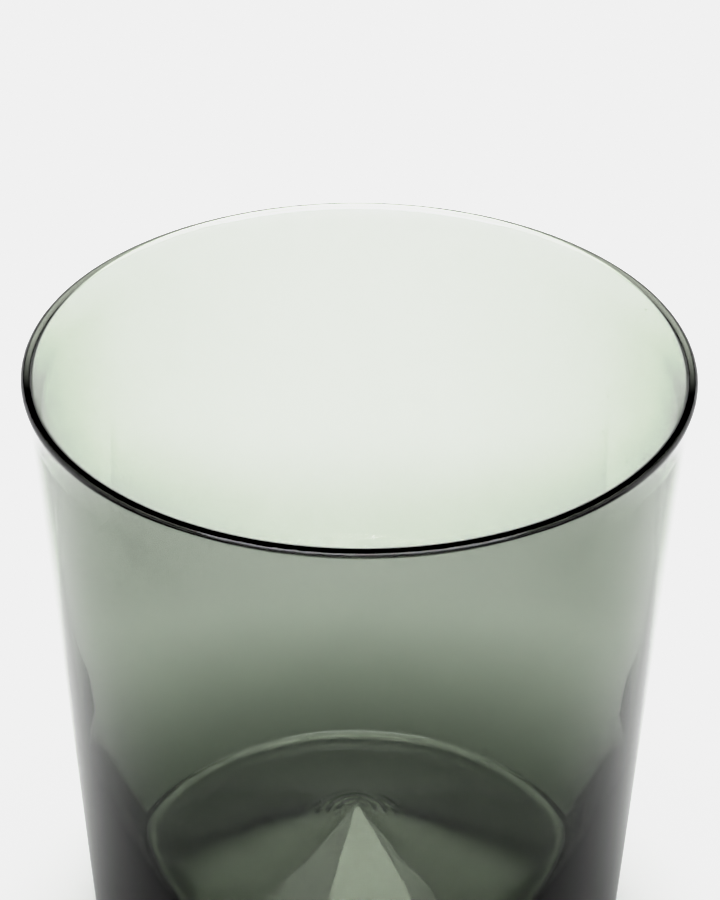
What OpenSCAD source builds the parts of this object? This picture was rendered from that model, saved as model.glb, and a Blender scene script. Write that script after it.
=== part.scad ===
// Glass cylinder vase: one piece of blown glass with a rounded lip, a thin upper wall that
// leans in a little towards the foot, and a heavy base with a raised, rounded centre inside.
// The frame: origin at the centre of the base on the table, +Z up along the vase's own axis.
// Angles are in degrees, and every lean is measured from upright.

/* [Mouth and upper wall] */
// Outside diameter across the lip
mouth_d = 160; // [120:1:220]
// Height from the table to the top of the lip
vase_h = 160; // [125:1:240]
// Lean of the outer wall
wall_lean = 5.1; // [0:0.1:7]
// Glass thickness of the upper wall
wall_t = 3; // [1.8:0.1:4]

/* [Lip] */
// Thickness of the fire-polished lip
lip_t = 2.9; // [1.8:0.1:5]
// Height of the zone below the lip that turns outwards
lip_h = 9; // [4:0.5:20]
// Lean of the lip where it ends
lip_lean = 17; // [9:0.5:30]

/* [Inside of the heavy base] */
// Depth below the lip at which the wall starts to thicken
thin_h = 94; // [50:1:100]
// Lean of the inner wall where it meets the corner
inner_lean = 21; // [12:0.5:26]
// Radius of the corner between the inner wall and the floor
corner_r = 3.5; // [2:0.5:8]
// Glass thickness under the lowest ring of the floor
floor_t = 15; // [11:0.5:22]
// Slope of the floor as it rises to the centre
floor_slope = 19.5; // [5:0.5:22]
// Radius of the rounded tip at the centre of the floor
tip_r = 5; // [3:0.5:12]

/* [Foot] */
// Radius of the heel between the outer wall and the resting ring
heel_r = 5; // [2:0.5:9]
// Width of the flat ring that the vase rests on
rest_w = 12; // [6:0.5:20]
// Height of the shallow hollow under the base
hollow_h = 3; // [1:0.5:6]

/* [Hidden] */
arc_steps = 12;
lathe_fn = 128;
glass_tint = [0.40, 0.46, 0.38, 0.55];

// A point that lies the distance r from c, in the direction a
function polar(c, r, a) = c + r * [cos(a), sin(a)];
// Points along an arc about c, from direction a to direction b
function arc(c, r, a, b, n = arc_steps) = [for (i = [0 : n]) polar(c, r, a + (b - a) * i / n)];

// Lip: half a circle of glass whose outermost point is at mouth_d, level with its own centre
lip_c = [mouth_d / 2 - lip_t / 2, vase_h - lip_t / 2];
// Turn-out of the wall below the lip, as an arc of its middle line about a centre outside
flare_r = lip_h / (sin(lip_lean) - sin(wall_lean));
flare_c = polar(lip_c, flare_r, -lip_lean);
// Half thickness of the glass at the lean a, which grows evenly from the wall's to the lip's
function flare_half(a) = (wall_t + (lip_t - wall_t) * (a - wall_lean) / (lip_lean - wall_lean)) / 2;
// The turn-out's outer face (side = 1) and inner face (side = -1), from the bottom up
function flare_face(side) = [
    for (i = [0 : arc_steps])
        let (a = wall_lean + (lip_lean - wall_lean) * i / arc_steps)
            polar(flare_c, flare_r - side * flare_half(a), 180 - a)
];

// Outer wall: a straight line down to the heel
outer_top = flare_face(1)[0];
foot_r = outer_top[0] - outer_top[1] * tan(wall_lean);
heel_c = [foot_r + heel_r * tan(wall_lean) - heel_r / cos(wall_lean), heel_r];

// Hollow under the base: a shallow arc from the resting ring up to the axis
hollow_w = heel_c[0] - rest_w;
hollow_r = (hollow_w * hollow_w + hollow_h * hollow_h) / (2 * hollow_h);
hollow_a = asin(hollow_w / hollow_r);

// Inner wall: parallel to the outer one, then an arc that closes in to thicken the glass
inner_top = flare_face(-1)[0];
swell_z = vase_h - thin_h;
swell_top = [inner_top[0] - (inner_top[1] - swell_z) * tan(wall_lean), swell_z];
swell_end_z = floor_t + corner_r * (1 - sin(inner_lean));
swell_r = (swell_z - swell_end_z) / (sin(inner_lean) - sin(wall_lean));
swell_c = polar(swell_top, swell_r, 180 - wall_lean);
swell_end = polar(swell_c, swell_r, -inner_lean);

// Corner, then the sloping floor, then the rounded tip on the axis
corner_c = polar(swell_end, corner_r, 180 - inner_lean);
floor_start = polar(corner_c, corner_r, -90 - floor_slope);
floor_end_r = tip_r * sin(floor_slope);
floor_end = [floor_end_r, floor_start[1] + (floor_start[0] - floor_end_r) * tan(floor_slope)];
tip_c = [0, floor_end[1] - tip_r * cos(floor_slope)];

// Half of the section through the glass, from the axis round the outside and back inside
section = concat(
    arc([0, hollow_h - hollow_r], hollow_r, 90, 90 - hollow_a),
    arc(heel_c, heel_r, -90, -wall_lean),
    flare_face(1),
    arc(lip_c, lip_t / 2, -lip_lean, 180 - lip_lean),
    [for (i = [arc_steps : -1 : 0]) flare_face(-1)[i]],
    arc(swell_c, swell_r, -wall_lean, -inner_lean),
    arc(corner_c, corner_r, -inner_lean, -90 - floor_slope),
    arc(tip_c, tip_r, 90 - floor_slope, 90)
);

module glass_body() {
    color(glass_tint) rotate_extrude($fn = lathe_fn) polygon(section);
}

glass_body();
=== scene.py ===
"""A wide-mouthed vase of smoke-green blown glass on a white studio table.

The glass is turned from half of its section, then given the faint waves and chill rings that hand
work leaves inside. The mouth and the height come from the CAD frame; the sizes that its box can't
give are written in millimetres under "The vase's own sizes". Cards on the stage that only the glass
sees draw its dark edges, its black lip and the light on its floor.
"""

from math import atan2, cos, degrees, hypot, pi, radians, sin, tan

import bmesh
import bpy
from mathutils import Matrix, Vector


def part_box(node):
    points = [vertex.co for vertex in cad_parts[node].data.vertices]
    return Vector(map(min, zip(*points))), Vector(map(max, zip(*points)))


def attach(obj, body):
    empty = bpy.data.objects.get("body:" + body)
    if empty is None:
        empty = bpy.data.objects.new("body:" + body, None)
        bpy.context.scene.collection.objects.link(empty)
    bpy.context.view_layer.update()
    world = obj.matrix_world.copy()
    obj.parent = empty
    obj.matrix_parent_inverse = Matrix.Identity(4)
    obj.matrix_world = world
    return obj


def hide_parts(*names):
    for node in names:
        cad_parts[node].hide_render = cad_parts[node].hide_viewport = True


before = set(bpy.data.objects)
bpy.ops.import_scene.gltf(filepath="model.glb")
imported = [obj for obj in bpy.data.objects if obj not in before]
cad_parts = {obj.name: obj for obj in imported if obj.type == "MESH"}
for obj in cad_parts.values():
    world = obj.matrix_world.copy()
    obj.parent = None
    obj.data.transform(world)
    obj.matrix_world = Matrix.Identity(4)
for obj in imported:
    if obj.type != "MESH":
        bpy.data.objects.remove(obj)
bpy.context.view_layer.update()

MM = 0.001
BODY = "root"
GLASS_NODE = "glass_body"

# The vase's own sizes, in millimetres and degrees from upright
lip_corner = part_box(GLASS_NODE)[1]
MOUTH_R = lip_corner.x / MM
HEIGHT = lip_corner.z / MM
WALL_LEAN = 5.1
WALL_T = 3.0
LIP_T = 2.9
LIP_H = 9.0
LIP_LEAN = 17.0
THIN_H = 94.0
INNER_LEAN = 21.0
CORNER_R = 3.5
FLOOR_T = 15.0
FLOOR_SLOPE = 19.5
TIP_R = 5.0
HEEL_R = 5.0
REST_W = 12.0
HOLLOW_H = 3.0

# How finely the glass is turned
STEPS_AROUND = 352

# Marks that hand work leaves inside the glass, in millimetres
RIPPLED_R = 17.0
RIPPLE_HEIGHT = 0.17
RIPPLE_SPACING = 2.9
RIPPLE_WOBBLE = 2.2
WAVE_HEIGHT = 0.16
WAVE_LENGTH = 34.0
FLOOR_WAVE_HEIGHT = 0.10
FLOOR_WAVE_SPACING = 5.5

# The faint green of the lights that the floor of the vase mirrors
PALE_GREEN = (0.95, 1.03, 0.86)


# ---------------------------------------------------------------- the section

def polar(centre, r, angle):
    """The point that lies the distance r from centre, in the direction angle."""
    return (centre[0] + r * cos(radians(angle)), centre[1] + r * sin(radians(angle)))


def arc(centre, r, start, end, steps):
    """Points along an arc about centre, from direction start to direction end."""
    return [polar(centre, r, start + (end - start) * i / steps) for i in range(steps + 1)]


def straight(a, b, steps):
    """Points along a straight line from a to b."""
    return [(a[0] + (b[0] - a[0]) * i / steps, a[1] + (b[1] - a[1]) * i / steps)
            for i in range(steps + 1)]


def glass_section():
    """Outer and inner halves of the section, each a list of (radius, height) in millimetres."""
    wall_tan, wall_sin = tan(radians(WALL_LEAN)), sin(radians(WALL_LEAN))

    lip_c = (MOUTH_R - LIP_T / 2, HEIGHT - LIP_T / 2)
    flare_r = LIP_H / (sin(radians(LIP_LEAN)) - wall_sin)
    flare_c = polar(lip_c, flare_r, -LIP_LEAN)
    flare_steps = 14

    def flare_face(side):
        points = []
        for i in range(flare_steps + 1):
            share = i / flare_steps
            half = (WALL_T + (LIP_T - WALL_T) * share) / 2
            lean = WALL_LEAN + (LIP_LEAN - WALL_LEAN) * share
            points.append(polar(flare_c, flare_r - side * half, 180 - lean))
        return points

    outer_flare, inner_flare = flare_face(1), flare_face(-1)
    foot_r = outer_flare[0][0] - outer_flare[0][1] * wall_tan
    heel_c = (foot_r + HEEL_R * wall_tan - HEEL_R / cos(radians(WALL_LEAN)), HEEL_R)
    hollow_w = heel_c[0] - REST_W
    hollow_r = (hollow_w ** 2 + HOLLOW_H ** 2) / (2 * HOLLOW_H)
    hollow_c = (0, HOLLOW_H - hollow_r)
    hollow_end = 90 - degrees(atan2(hollow_w, hollow_r - HOLLOW_H))

    swell_z = HEIGHT - THIN_H
    swell_top = (inner_flare[0][0] - (inner_flare[0][1] - swell_z) * wall_tan, swell_z)
    swell_end_z = FLOOR_T + CORNER_R * (1 - sin(radians(INNER_LEAN)))
    swell_r = (swell_z - swell_end_z) / (sin(radians(INNER_LEAN)) - wall_sin)
    swell_c = polar(swell_top, swell_r, 180 - WALL_LEAN)
    corner_c = polar(polar(swell_c, swell_r, -INNER_LEAN), CORNER_R, 180 - INNER_LEAN)

    floor_start = polar(corner_c, CORNER_R, -90 - FLOOR_SLOPE)
    slope = tan(radians(FLOOR_SLOPE))
    ripple_edge = (RIPPLED_R, floor_start[1] + (floor_start[0] - RIPPLED_R) * slope)
    tip_edge_r = TIP_R * sin(radians(FLOOR_SLOPE))
    tip_edge = (tip_edge_r, floor_start[1] + (floor_start[0] - tip_edge_r) * slope)
    tip_c = (0, tip_edge[1] - TIP_R * cos(radians(FLOOR_SLOPE)))

    heel = arc(heel_c, HEEL_R, -90, -WALL_LEAN, 10)
    outer = arc(hollow_c, hollow_r, 90, hollow_end, 10)
    outer += straight(outer[-1], heel[0], 2) + heel
    outer += straight(heel[-1], outer_flare[0], 16) + outer_flare
    outer += arc(lip_c, LIP_T / 2, -LIP_LEAN, 180 - LIP_LEAN, 18)
    inner = inner_flare[::-1] + straight(inner_flare[0], swell_top, 16)
    inner += arc(swell_c, swell_r, -WALL_LEAN, -INNER_LEAN, 22)
    inner += arc(corner_c, CORNER_R, -INNER_LEAN, -90 - FLOOR_SLOPE, 14)
    inner += straight(floor_start, ripple_edge, 34) + straight(ripple_edge, tip_edge, 48)
    inner += arc(tip_c, TIP_R, 90 - FLOOR_SLOPE, 90, 6)
    return outer, inner


def section_mesh():
    """The section as a string of points in the XZ plane, with inner_face from 0 to 1 on it."""
    outer, inner = glass_section()
    hand_made_below = HEIGHT - LIP_H
    fade = 14.0
    points, marks = [], []
    for half, is_inner in ((outer, False), (inner, True)):
        for r, z in half:
            if points and hypot(points[-1][0] - r * MM, points[-1][2] - z * MM) < 0.01 * MM:
                continue
            share = min(max((hand_made_below - z) / fade, 0), 1)
            points.append((r * MM, 0, z * MM))
            marks.append(share if is_inner else 0)
    mesh = bpy.data.meshes.new("half_section")
    mesh.from_pydata(points, [(i, i + 1) for i in range(len(points) - 1)], [])
    mesh.attributes.new("inner_face", "FLOAT", "POINT").data.foreach_set("value", marks)
    return mesh


# ------------------------------------------------------ wiring of node trees

class Wiring:
    """Adds nodes to one tree and joins them, so that a formula reads as one line."""

    def __init__(self, tree):
        self.tree = tree

    def node(self, kind, settings=None, **inputs):
        made = self.tree.nodes.new(kind)
        for key, value in (settings or {}).items():
            setattr(made, key, value)
        for name, value in inputs.items():
            self.feed(made, name.replace("_", " "), value)
        return made

    def feed(self, node, name, value):
        """Joins value to the input called name, or sets it there if it is a plain value."""
        wanted = [s for s in node.inputs if s.enabled and s.name.lower() == name.lower()]
        self.put(wanted[0], value)

    def put(self, socket, value):
        if isinstance(value, bpy.types.NodeSocket):
            self.tree.links.new(value, socket)
        else:
            socket.default_value = value

    def math(self, operation, a, b=0.0):
        made = self.node("ShaderNodeMath", {"operation": operation})
        self.put(made.inputs[0], a)
        self.put(made.inputs[1], b)
        return made.outputs[0]

    def vector_math(self, operation, a, b=None, scale=None):
        made = self.node("ShaderNodeVectorMath", {"operation": operation})
        self.put(made.inputs[0], a)
        if b is not None:
            self.put(made.inputs[1], b)
        if scale is not None:
            self.put(made.inputs["Scale"], scale)
        return made.outputs["Value" if operation == "LENGTH" else "Vector"]

    def ramp(self, value, low, high, to_low, to_high, kind="SMOOTHSTEP"):
        """Maps value from low..high to to_low..to_high, and holds it at the ends."""
        made = self.node("ShaderNodeMapRange", {"interpolation_type": kind}, Value=value,
                         From_Min=low, From_Max=high, To_Min=to_low, To_Max=to_high)
        return made.outputs[0]

    def object_place(self):
        """Where on the object a point lies, in metres."""
        return self.node("ShaderNodeTexCoord").outputs["Object"]

    def along(self, axis, vector):
        """The X, Y or Z of a vector."""
        return self.node("ShaderNodeSeparateXYZ", Vector=vector).outputs[axis]

    def picked(self, cells, channel, share):
        """1 in the given share of a Voronoi node's cells and 0 in the rest."""
        draw = self.node("ShaderNodeSeparateColor", Color=cells.outputs["Color"]).outputs[channel]
        return self.math("GREATER_THAN", draw, 1 - share)


# ------------------------------------------------------------ the glass piece

def turned_glass_tree():
    """Geometry Nodes that turn a section about Z, close it, and add the maker's waves."""
    tree = bpy.data.node_groups.new("turned_glass", "GeometryNodeTree")
    inputs = (("Section", "Geometry"), ("Steps around", "Int"), ("Points in section", "Int"),
              ("Ripple height", "Float"), ("Ripple spacing", "Float"), ("Ripple wobble", "Float"),
              ("Rippled radius", "Float"), ("Wave height", "Float"), ("Wave length", "Float"),
              ("Floor thickness", "Float"), ("Floor wave height", "Float"),
              ("Floor wave spacing", "Float"), ("Seed", "Float"), ("Glass", "Material"))
    for name, kind in inputs:
        tree.interface.new_socket(name, in_out="INPUT", socket_type="NodeSocket" + kind)
    tree.interface.new_socket("Vase", in_out="OUTPUT", socket_type="NodeSocketGeometry")
    w = Wiring(tree)
    given = w.node("NodeGroupInput").outputs

    # A sheet of points: one row for each step round, one column for each point of the section
    sheet = w.node("GeometryNodeMeshGrid", Vertices_X=w.math("ADD", given["Steps around"], 1),
                   Vertices_Y=given["Points in section"]).outputs[0]
    index = w.node("GeometryNodeInputIndex").outputs[0]
    per_row = given["Points in section"]
    step = w.math("FLOOR", w.math("DIVIDE", w.math("ADD", index, 0.5), per_row))
    column = w.math("ADD", w.math("SUBTRACT", index, w.math("MULTIPLY", step, per_row)), 0.5)

    def from_section(data_type, value):
        sampled = w.node("GeometryNodeSampleIndex", {"data_type": data_type, "domain": "POINT"},
                         Geometry=given["Section"], Value=value, Index=column)
        return sampled.outputs[0]

    named = w.node("GeometryNodeInputNamedAttribute", {"data_type": "FLOAT"}, Name="inner_face")
    marked = w.node("GeometryNodeStoreNamedAttribute", {"data_type": "FLOAT", "domain": "POINT"},
                    Geometry=sheet, Name="inner_face", Value=from_section("FLOAT", named.outputs[0]))
    place = w.node("ShaderNodeSeparateXYZ",
                   Vector=from_section("FLOAT_VECTOR", w.node("GeometryNodeInputPosition").outputs[0]))
    angle = w.math("MULTIPLY", step, w.math("DIVIDE", 2 * pi, given["Steps around"]))
    turned = w.node("ShaderNodeCombineXYZ", Z=place.outputs["Z"],
                    X=w.math("MULTIPLY", place.outputs["X"], w.math("COSINE", angle)),
                    Y=w.math("MULTIPLY", place.outputs["X"], w.math("SINE", angle)))
    lathed = w.node("GeometryNodeSetPosition", Geometry=marked.outputs[0], Position=turned.outputs[0])
    closed = w.node("GeometryNodeMergeByDistance", Geometry=lathed.outputs[0], Distance=0.002 * MM)

    # Chill rings round the centre of the floor, which die away outwards
    position = w.node("GeometryNodeInputPosition").outputs[0]
    split = w.node("ShaderNodeSeparateXYZ", Vector=position).outputs
    flat = w.node("ShaderNodeCombineXYZ", X=split["X"], Y=split["Y"]).outputs[0]
    radius = w.vector_math("LENGTH", flat)
    around = w.vector_math("NORMALIZE", flat)

    def noise(vector, offset, scale):
        made = w.node("ShaderNodeTexNoise", {"noise_dimensions": "4D", "normalize": True}, Vector=vector,
                      W=w.math("ADD", given["Seed"], offset), Scale=scale, Detail=1.0, Roughness=0.5)
        return w.math("SUBTRACT", made.outputs[0], 0.5)

    wobble = w.math("MULTIPLY", noise(around, 1.0, 1.4), given["Ripple wobble"])
    turns = w.math("DIVIDE", w.math("ADD", radius, wobble), given["Ripple spacing"])
    ring = w.math("COSINE", w.math("MULTIPLY", turns, 2 * pi))
    rippled_r = given["Rippled radius"]
    inwards = w.ramp(radius, w.math("MULTIPLY", rippled_r, 0.2), rippled_r, 1.0, 0.0)
    far_side = w.ramp(w.along("Y", around), -0.3, 0.4, 0.0, 1.0)
    strength = w.math("MULTIPLY", w.math("MULTIPLY", inwards, far_side), given["Ripple height"])
    rings = w.math("MULTIPLY", ring, strength)

    # Slow waves across the floor, longer round the axis than away from it
    outwards = w.node("ShaderNodeCombineXYZ", Z=w.math("DIVIDE", radius, given["Floor wave spacing"]))
    stretched = w.vector_math("ADD", w.vector_math("SCALE", around, scale=1.5), outwards.outputs[0])
    past_rings = w.ramp(radius, w.math("MULTIPLY", rippled_r, 0.4), rippled_r, 0.0, 1.0)
    low, high = (w.math("MULTIPLY", given["Floor thickness"], share) for share in (1.9, 2.6))
    on_floor = w.math("MULTIPLY", past_rings, w.ramp(split["Z"], low, high, 1.0, 0.0))
    floor_waves = w.math("MULTIPLY", w.math("MULTIPLY", noise(stretched, 2.0, 1.0), on_floor),
                         given["Floor wave height"])

    # Long, lazy waves down the inner wall
    drawn_out = w.vector_math("MULTIPLY", position, (1.0, 1.0, 0.55))
    wall_waves = w.math("MULTIPLY", noise(drawn_out, 3.0, w.math("DIVIDE", 1.0, given["Wave length"])),
                        given["Wave height"])

    inside = w.node("GeometryNodeInputNamedAttribute", {"data_type": "FLOAT"}, Name="inner_face")
    relief = w.math("ADD", w.math("ADD", rings, floor_waves), wall_waves)
    lift = w.math("MULTIPLY", relief, inside.outputs[0])
    normal = w.node("GeometryNodeInputNormal").outputs[0]
    waved = w.node("GeometryNodeSetPosition", Geometry=closed.outputs[0],
                   Offset=w.vector_math("SCALE", normal, scale=lift))
    smooth = w.node("GeometryNodeSetShadeSmooth", Geometry=waved.outputs[0])
    solid = w.node("GeometryNodeRealizeInstances", Geometry=smooth.outputs[0])
    coated = w.node("GeometryNodeSetMaterial", Geometry=solid.outputs[0], Material=given["Glass"])
    w.tree.links.new(coated.outputs[0], w.node("NodeGroupOutput").inputs[0])
    return tree


def turn_vase(glass):
    """The whole vase as one closed mesh, turned from its section."""
    section = section_mesh()
    vase = bpy.data.objects.new("glass_vase", section)
    bpy.context.scene.collection.objects.link(vase)
    modifier = vase.modifiers.new("turned_glass", "NODES")
    modifier.node_group = turned_glass_tree()
    values = {"Steps around": STEPS_AROUND, "Points in section": len(section.vertices),
              "Ripple height": RIPPLE_HEIGHT * MM, "Ripple spacing": RIPPLE_SPACING * MM,
              "Ripple wobble": RIPPLE_WOBBLE * MM, "Rippled radius": RIPPLED_R * MM,
              "Wave height": WAVE_HEIGHT * MM, "Wave length": WAVE_LENGTH * MM,
              "Floor thickness": FLOOR_T * MM, "Floor wave height": FLOOR_WAVE_HEIGHT * MM,
              "Floor wave spacing": FLOOR_WAVE_SPACING * MM, "Seed": 4.0, "Glass": glass}
    for item in modifier.node_group.interface.items_tree:
        if item.in_out == "INPUT" and item.name in values:
            modifier[item.identifier] = values[item.name]
    bpy.context.view_layer.update()
    ready = vase.evaluated_get(bpy.context.evaluated_depsgraph_get())
    mesh = bpy.data.meshes.new_from_object(ready)
    vase.modifiers.clear()
    vase.data = mesh
    mesh.name = "glass_vase"
    face_outwards(mesh)
    return vase


def face_outwards(mesh):
    """Turns every face of a closed shell so that it points away from the glass."""
    work = bmesh.new()
    work.from_mesh(mesh)
    bmesh.ops.recalc_face_normals(work, faces=work.faces)
    work.to_mesh(mesh)
    work.free()


# ----------------------------------------------------------------- materials

def smoke_glass():
    """Grey-green glass: its colour comes from the depth of glass that light crosses."""
    material = bpy.data.materials.new("smoke_glass")
    material.use_nodes = True
    tree = material.node_tree
    w = Wiring(tree)
    shader = tree.nodes["Principled BSDF"]
    shader.inputs["Base Color"].default_value = (1, 1, 1, 1)
    shader.inputs["IOR"].default_value = 1.5
    shader.inputs["Transmission Weight"].default_value = 1.0

    depth = w.node("ShaderNodeVolumeAbsorption", Color=(0.16, 0.236, 0.116, 1), Density=225.0)
    tree.links.new(depth.outputs[0], tree.nodes["Material Output"].inputs["Volume"])

    place = w.object_place()
    smear = w.node("ShaderNodeTexNoise", Vector=place, Scale=55.0, Detail=3.0, Roughness=0.6)
    tree.links.new(w.ramp(smear.outputs[0], 0.62, 0.80, 0.0, 0.014), shader.inputs["Roughness"])

    height = w.math("ADD", w.math("ADD", polish_waves(w, place), seeds(w, place)), hairlines(w, place))
    bump = w.node("ShaderNodeBump", Strength=1.0, Distance=1.0, Height=height)
    tree.links.new(bump.outputs[0], shader.inputs["Normal"])
    return material


def polish_waves(w, place):
    """Height, in metres, of the faint orange-peel of a fire-polished face."""
    peel = w.node("ShaderNodeTexNoise", Vector=place, Scale=70.0, Detail=1.0, Roughness=0.4)
    return w.math("MULTIPLY", peel.outputs[0], 0.012 * MM)


def seeds(w, place):
    """Height, in metres, of sparse seeds: specks that stand a little out of the face."""
    cell_size = 7.0 * MM
    cells = w.node("ShaderNodeTexVoronoi", Vector=place, Scale=1 / cell_size, Randomness=1.0)
    kept = w.picked(cells, "Red", 0.45)
    bead = w.ramp(cells.outputs["Distance"], 0.0, 0.05, 1.0, 0.0)
    return w.math("MULTIPLY", w.math("MULTIPLY", bead, kept), 0.10 * MM)


def hairlines(w, place):
    """Height, in metres, of a few short scratches from use."""
    drift = w.node("ShaderNodeTexNoise", Vector=place, Scale=9.0, Detail=0.0)
    bent = w.vector_math("ADD", place, w.vector_math("SCALE", drift.outputs["Color"], scale=4 * MM))
    tilted = w.node("ShaderNodeMapping", Vector=bent, Rotation=(0.5, 0.9, 0.3), Scale=(520.0, 60.0, 60.0))
    cells = w.node("ShaderNodeTexVoronoi", Vector=tilted.outputs[0], Scale=1.0, Randomness=1.0)
    kept = w.picked(cells, "Green", 0.06)
    groove = w.ramp(cells.outputs["Distance"], 0.0, 0.16, -1.0, 0.0)
    return w.math("MULTIPLY", w.math("MULTIPLY", groove, kept), 0.02 * MM)


def plain_surface(name, shade):
    """An even, dull surface for the stage."""
    material = bpy.data.materials.new(name)
    material.use_nodes = True
    shader = material.node_tree.nodes["Principled BSDF"]
    shader.inputs["Base Color"].default_value = (shade, shade, shade, 1)
    shader.inputs["Roughness"].default_value = 1.0
    shader.inputs["Specular IOR Level"].default_value = 0.0
    return material


# --------------------------------------------------------------------- stage

def flat_card(name, corners, z, material):
    """A flat card of the stage at height z; corners are (x, y) pairs, in turn."""
    mesh = bpy.data.meshes.new(name)
    mesh.from_pydata([(x, y, z) for x, y in corners], [], [tuple(range(len(corners)))])
    mesh.materials.append(material)
    card = bpy.data.objects.new(name, mesh)
    bpy.context.scene.collection.objects.link(card)
    return card


def oblong(x, y):
    """Corners of an upright rectangle from x[0] to x[1] and y[0] to y[1]."""
    return [(x[0], y[0]), (x[1], y[0]), (x[1], y[1]), (x[0], y[1])]


def seen_only_in(thing, *kinds):
    """Keeps a card or a lamp out of every sort of ray but the kinds named."""
    for kind in ("camera", "diffuse", "glossy", "transmission", "shadow", "volume_scatter"):
        setattr(thing, "visible_" + kind, kind in kinds)


def white_table():
    """The white table that the vase stands on, and that the whole view ends in."""
    half = 6.0
    corners = oblong((-half, half), (-half, half))
    flat_card("table_top", corners, -0.5 * MM, plain_surface("white_table", 0.8))


def black_front_card():
    """Keeps the table's white out of the near wall's reflection, fading out towards the back."""
    material = plain_surface("black_front_card", 0.0)
    tree = material.node_tree
    w = Wiring(tree)
    whole_to, gone_at, strength = -0.10, 0.12, 0.95
    fade = w.ramp(w.along("Y", w.object_place()), whole_to, gone_at, strength, 0.0)
    tree.links.new(fade, tree.nodes["Principled BSDF"].inputs["Alpha"])
    corners = oblong((-2, 2), (-2, gone_at))
    seen_only_in(flat_card("black_front_card", corners, 0.0, material), "glossy")


def dark_side_cards():
    """Dark cards on the table at both sides, seen only through the glass: they draw its dark edges."""
    material = plain_surface("dark_side_card", 0.0)
    w = Wiring(material.node_tree)
    place = w.object_place()
    sideways = w.ramp(w.math("ABSOLUTE", w.along("X", place)), 0.09, 0.22, 1.0, 0.0)
    forwards = w.ramp(w.along("Y", place), -0.11, 0.01, 0.0, 1.0)
    shader = material.node_tree.nodes["Principled BSDF"]
    w.feed(shader, "Alpha", w.math("MULTIPLY", sideways, forwards))
    front, back, outer = -0.12, 0.125, 0.23
    inner_edge = [(0.078, front), (0.078, 0.075), (0.094, 0.098), (0.130, 0.115), (0.190, back)]
    right = inner_edge + [(outer, back), (outer, front)]
    for side in (-1, 1):
        corners = [(side * x, y) for x, y in right]
        seen_only_in(flat_card("dark_side_card", corners, 0.2 * MM, material), "transmission")


def painted_shadow_card():
    """A faint grey card behind, seen only through the glass: a painted shadow on the table behind the vase,
    which darkens the top of the near wall.
    """
    material = plain_surface("painted_shadow_card", 0.0)
    tree = material.node_tree
    w = Wiring(tree)
    # Painted shadow: black at low alpha, fading in and out along Y behind the vase
    front, back, strength = 0.118, 0.235, 0.14
    behind = w.along("Y", w.object_place())
    comes_in = w.ramp(behind, front, 0.148, 0.0, strength)
    goes_out = w.ramp(behind, 0.17, back, 1.0, 0.0)
    tree.links.new(w.math("MULTIPLY", comes_in, goes_out), tree.nodes["Principled BSDF"].inputs["Alpha"])
    corners = oblong((-0.3, 0.3), (0.11, 0.24))
    seen_only_in(flat_card("painted_shadow_card", corners, 0.4 * MM, material), "transmission")


def lip_shade():
    """A black collar just above the near half of the lip, so that the lip reads dark; its ends fade out."""
    inner_r, outer_r, gap, steps = MOUTH_R - 5.0, MOUTH_R + 1.0, 1.0, 120
    first, last = radians(165), radians(375)
    turns = [first + (last - first) * k / steps for k in range(steps + 1)]
    z = (HEIGHT + gap) * MM
    rim = [(r * MM * cos(t), r * MM * sin(t), z) for r in (inner_r, outer_r) for t in turns]
    faces = [(k, k + 1, steps + 2 + k, steps + 1 + k) for k in range(steps)]
    mesh = bpy.data.meshes.new("lip_shade")
    mesh.from_pydata(rim, [], faces)
    material = plain_surface("black_collar", 0.0)
    w = Wiring(material.node_tree)
    fade = w.ramp(w.along("Y", w.object_place()), -0.010, 0.018, 1.0, 0.0)
    w.feed(material.node_tree.nodes["Principled BSDF"], "Alpha", fade)
    mesh.materials.append(material)
    collar = bpy.data.objects.new("lip_shade", mesh)
    bpy.context.scene.collection.objects.link(collar)
    seen_only_in(collar, "glossy")


def overhead_card():
    """A broad white card above the vase, bright in the middle, which the floor of the vase mirrors."""
    centre, half = Vector((0.03, 0.60, 1.5)), 4.5
    material = bpy.data.materials.new("white_overhead_card")
    material.use_nodes = True
    tree = material.node_tree
    tree.nodes.clear()
    w = Wiring(tree)
    away = w.vector_math("LENGTH", w.vector_math("SUBTRACT", w.object_place(), tuple(centre)))
    bright_r, dark_r, brightest = 1.1, 3.4, 5.8
    strength = w.ramp(away, bright_r, dark_r, brightest, 0.0, "LINEAR")
    glow = w.node("ShaderNodeEmission", Color=(*PALE_GREEN, 1), Strength=strength)
    tree.links.new(glow.outputs[0], w.node("ShaderNodeOutputMaterial").inputs[0])
    corners = oblong((centre.x - half, centre.x + half), (centre.y - half, centre.y + half))
    seen_only_in(flat_card("overhead_card", corners, centre.z, material), "glossy", "transmission")


def soft_light(name, place, size, radiance, aim=None, colour=(1, 1, 1)):
    """A rectangular soft light of the given radiance, facing down or towards aim."""
    lamp = bpy.data.lights.new(name, "AREA")
    lamp.shape = "RECTANGLE"
    lamp.size, lamp.size_y = size
    lamp.energy = radiance * size[0] * size[1] * pi
    lamp.color = colour
    holder = bpy.data.objects.new(name, lamp)
    holder.location = place
    if aim is not None:
        holder.rotation_euler = (Vector(aim) - Vector(place)).to_track_quat("-Z", "Y").to_euler()
    bpy.context.scene.collection.objects.link(holder)
    return holder


def studio_lights():
    """One soft light for the table, and two that only show as highlights in the glass."""
    seen_only_in(soft_light("table_light", (0, 0.3, 2.2), (2.1, 2.1), 8.3), "diffuse", "shadow")
    seen_only_in(soft_light("floor_highlight", (0.11, 0.55, 1.45), (0.64, 0.9), 7.5,
                            colour=PALE_GREEN), "glossy")
    seen_only_in(soft_light("lip_highlight", (0, -0.5, 0.6), (1.3, 0.5), 5.5, aim=(0, 0, HEIGHT * MM),
                            colour=(0.92, 0.95, 1.0)), "glossy")


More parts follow.
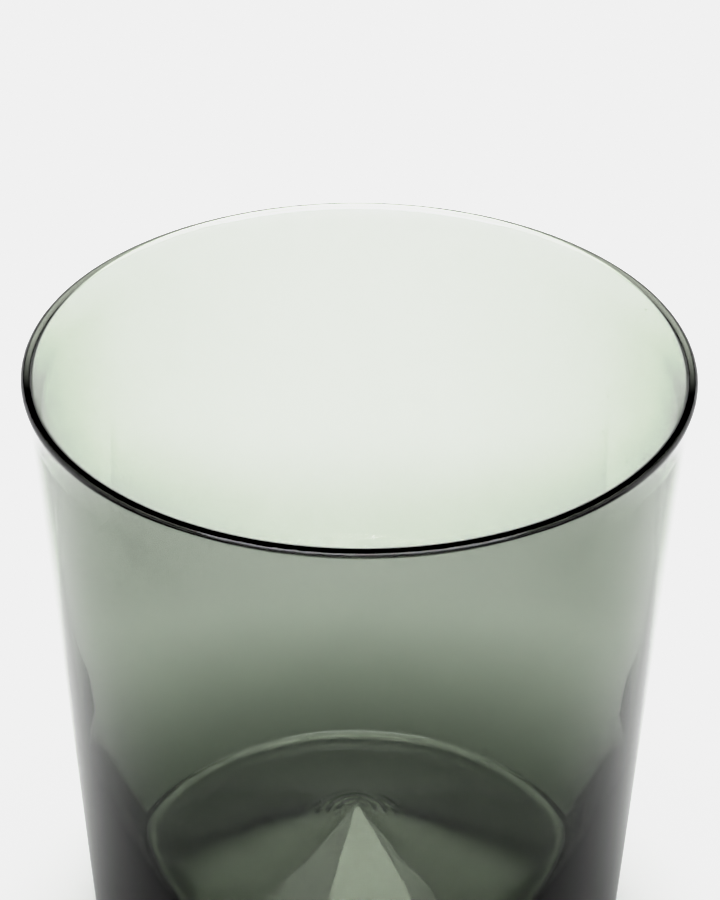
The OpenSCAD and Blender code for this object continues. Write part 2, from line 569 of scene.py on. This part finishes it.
def studio_air():
    """A pale studio at the level of the table that falls to black overhead."""
    world = bpy.data.worlds.new("studio")
    bpy.context.scene.world = world
    world.use_nodes = True
    tree = world.node_tree
    w = Wiring(tree)
    up = w.along("Z", w.node("ShaderNodeTexCoord").outputs["Generated"])
    elevation = w.math("ARCSINE", up)
    tree.nodes["Background"].inputs["Color"].default_value = (1, 1, 1, 1)
    tree.links.new(w.ramp(elevation, radians(6), radians(22), 1.0, 0.0),
                   tree.nodes["Background"].inputs["Strength"])


def camera():
    """A long lens that looks down into the mouth from in front."""
    mouth_r = MOUTH_R * MM
    back, above_lip = 12.623 * mouth_r, 7.672 * mouth_r
    pitch, roll, yaw = radians(32.186), radians(0.415), 0.00026
    lens = bpy.data.cameras.new("studio_camera")
    lens.sensor_width = 36
    lens.lens = 200
    lens.clip_end = 50
    holder = bpy.data.objects.new("studio_camera", lens)
    bpy.context.scene.collection.objects.link(holder)
    forward = Vector((sin(yaw) * cos(pitch), cos(yaw) * cos(pitch), -sin(pitch)))
    level = Vector((cos(yaw), -sin(yaw), 0))
    upward = level.cross(forward)
    right = cos(roll) * level + sin(roll) * upward
    up = -sin(roll) * level + cos(roll) * upward
    place = Vector((0, -back, (HEIGHT - LIP_T / 2) * MM + above_lip))
    holder.matrix_world = Matrix((right, up, -forward)).transposed().to_4x4()
    holder.matrix_world.translation = place
    bpy.context.scene.camera = holder


def tone():
    """Plain tones up to a light grey, then a soft shoulder to the white of the backdrop."""
    view = bpy.context.scene.view_settings
    view.view_transform = "Standard"
    view.use_curve_mapping = True
    curves = view.curve_mapping
    brightest, backdrop_white = 1.6, 0.871
    curves.white_level = (brightest, brightest, brightest)
    curves.extend = "HORIZONTAL"
    curve = curves.curves[3]
    curve.points[0].location = (0, 0)
    curve.points[1].location = (1, backdrop_white)
    for light, shown in ((0.40, 0.395), (0.60, 0.57), (0.80, 0.785), (0.99, 0.85), (1.28, 0.868)):
        curve.points.new(light / brightest, shown)
    curves.update()


# -------------------------------------------------------------------- making

camera()
tone()
studio_air()
white_table()
black_front_card()
dark_side_cards()
painted_shadow_card()
lip_shade()
overhead_card()
studio_lights()

vase = turn_vase(smoke_glass())
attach(vase, BODY)
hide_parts(GLASS_NODE)
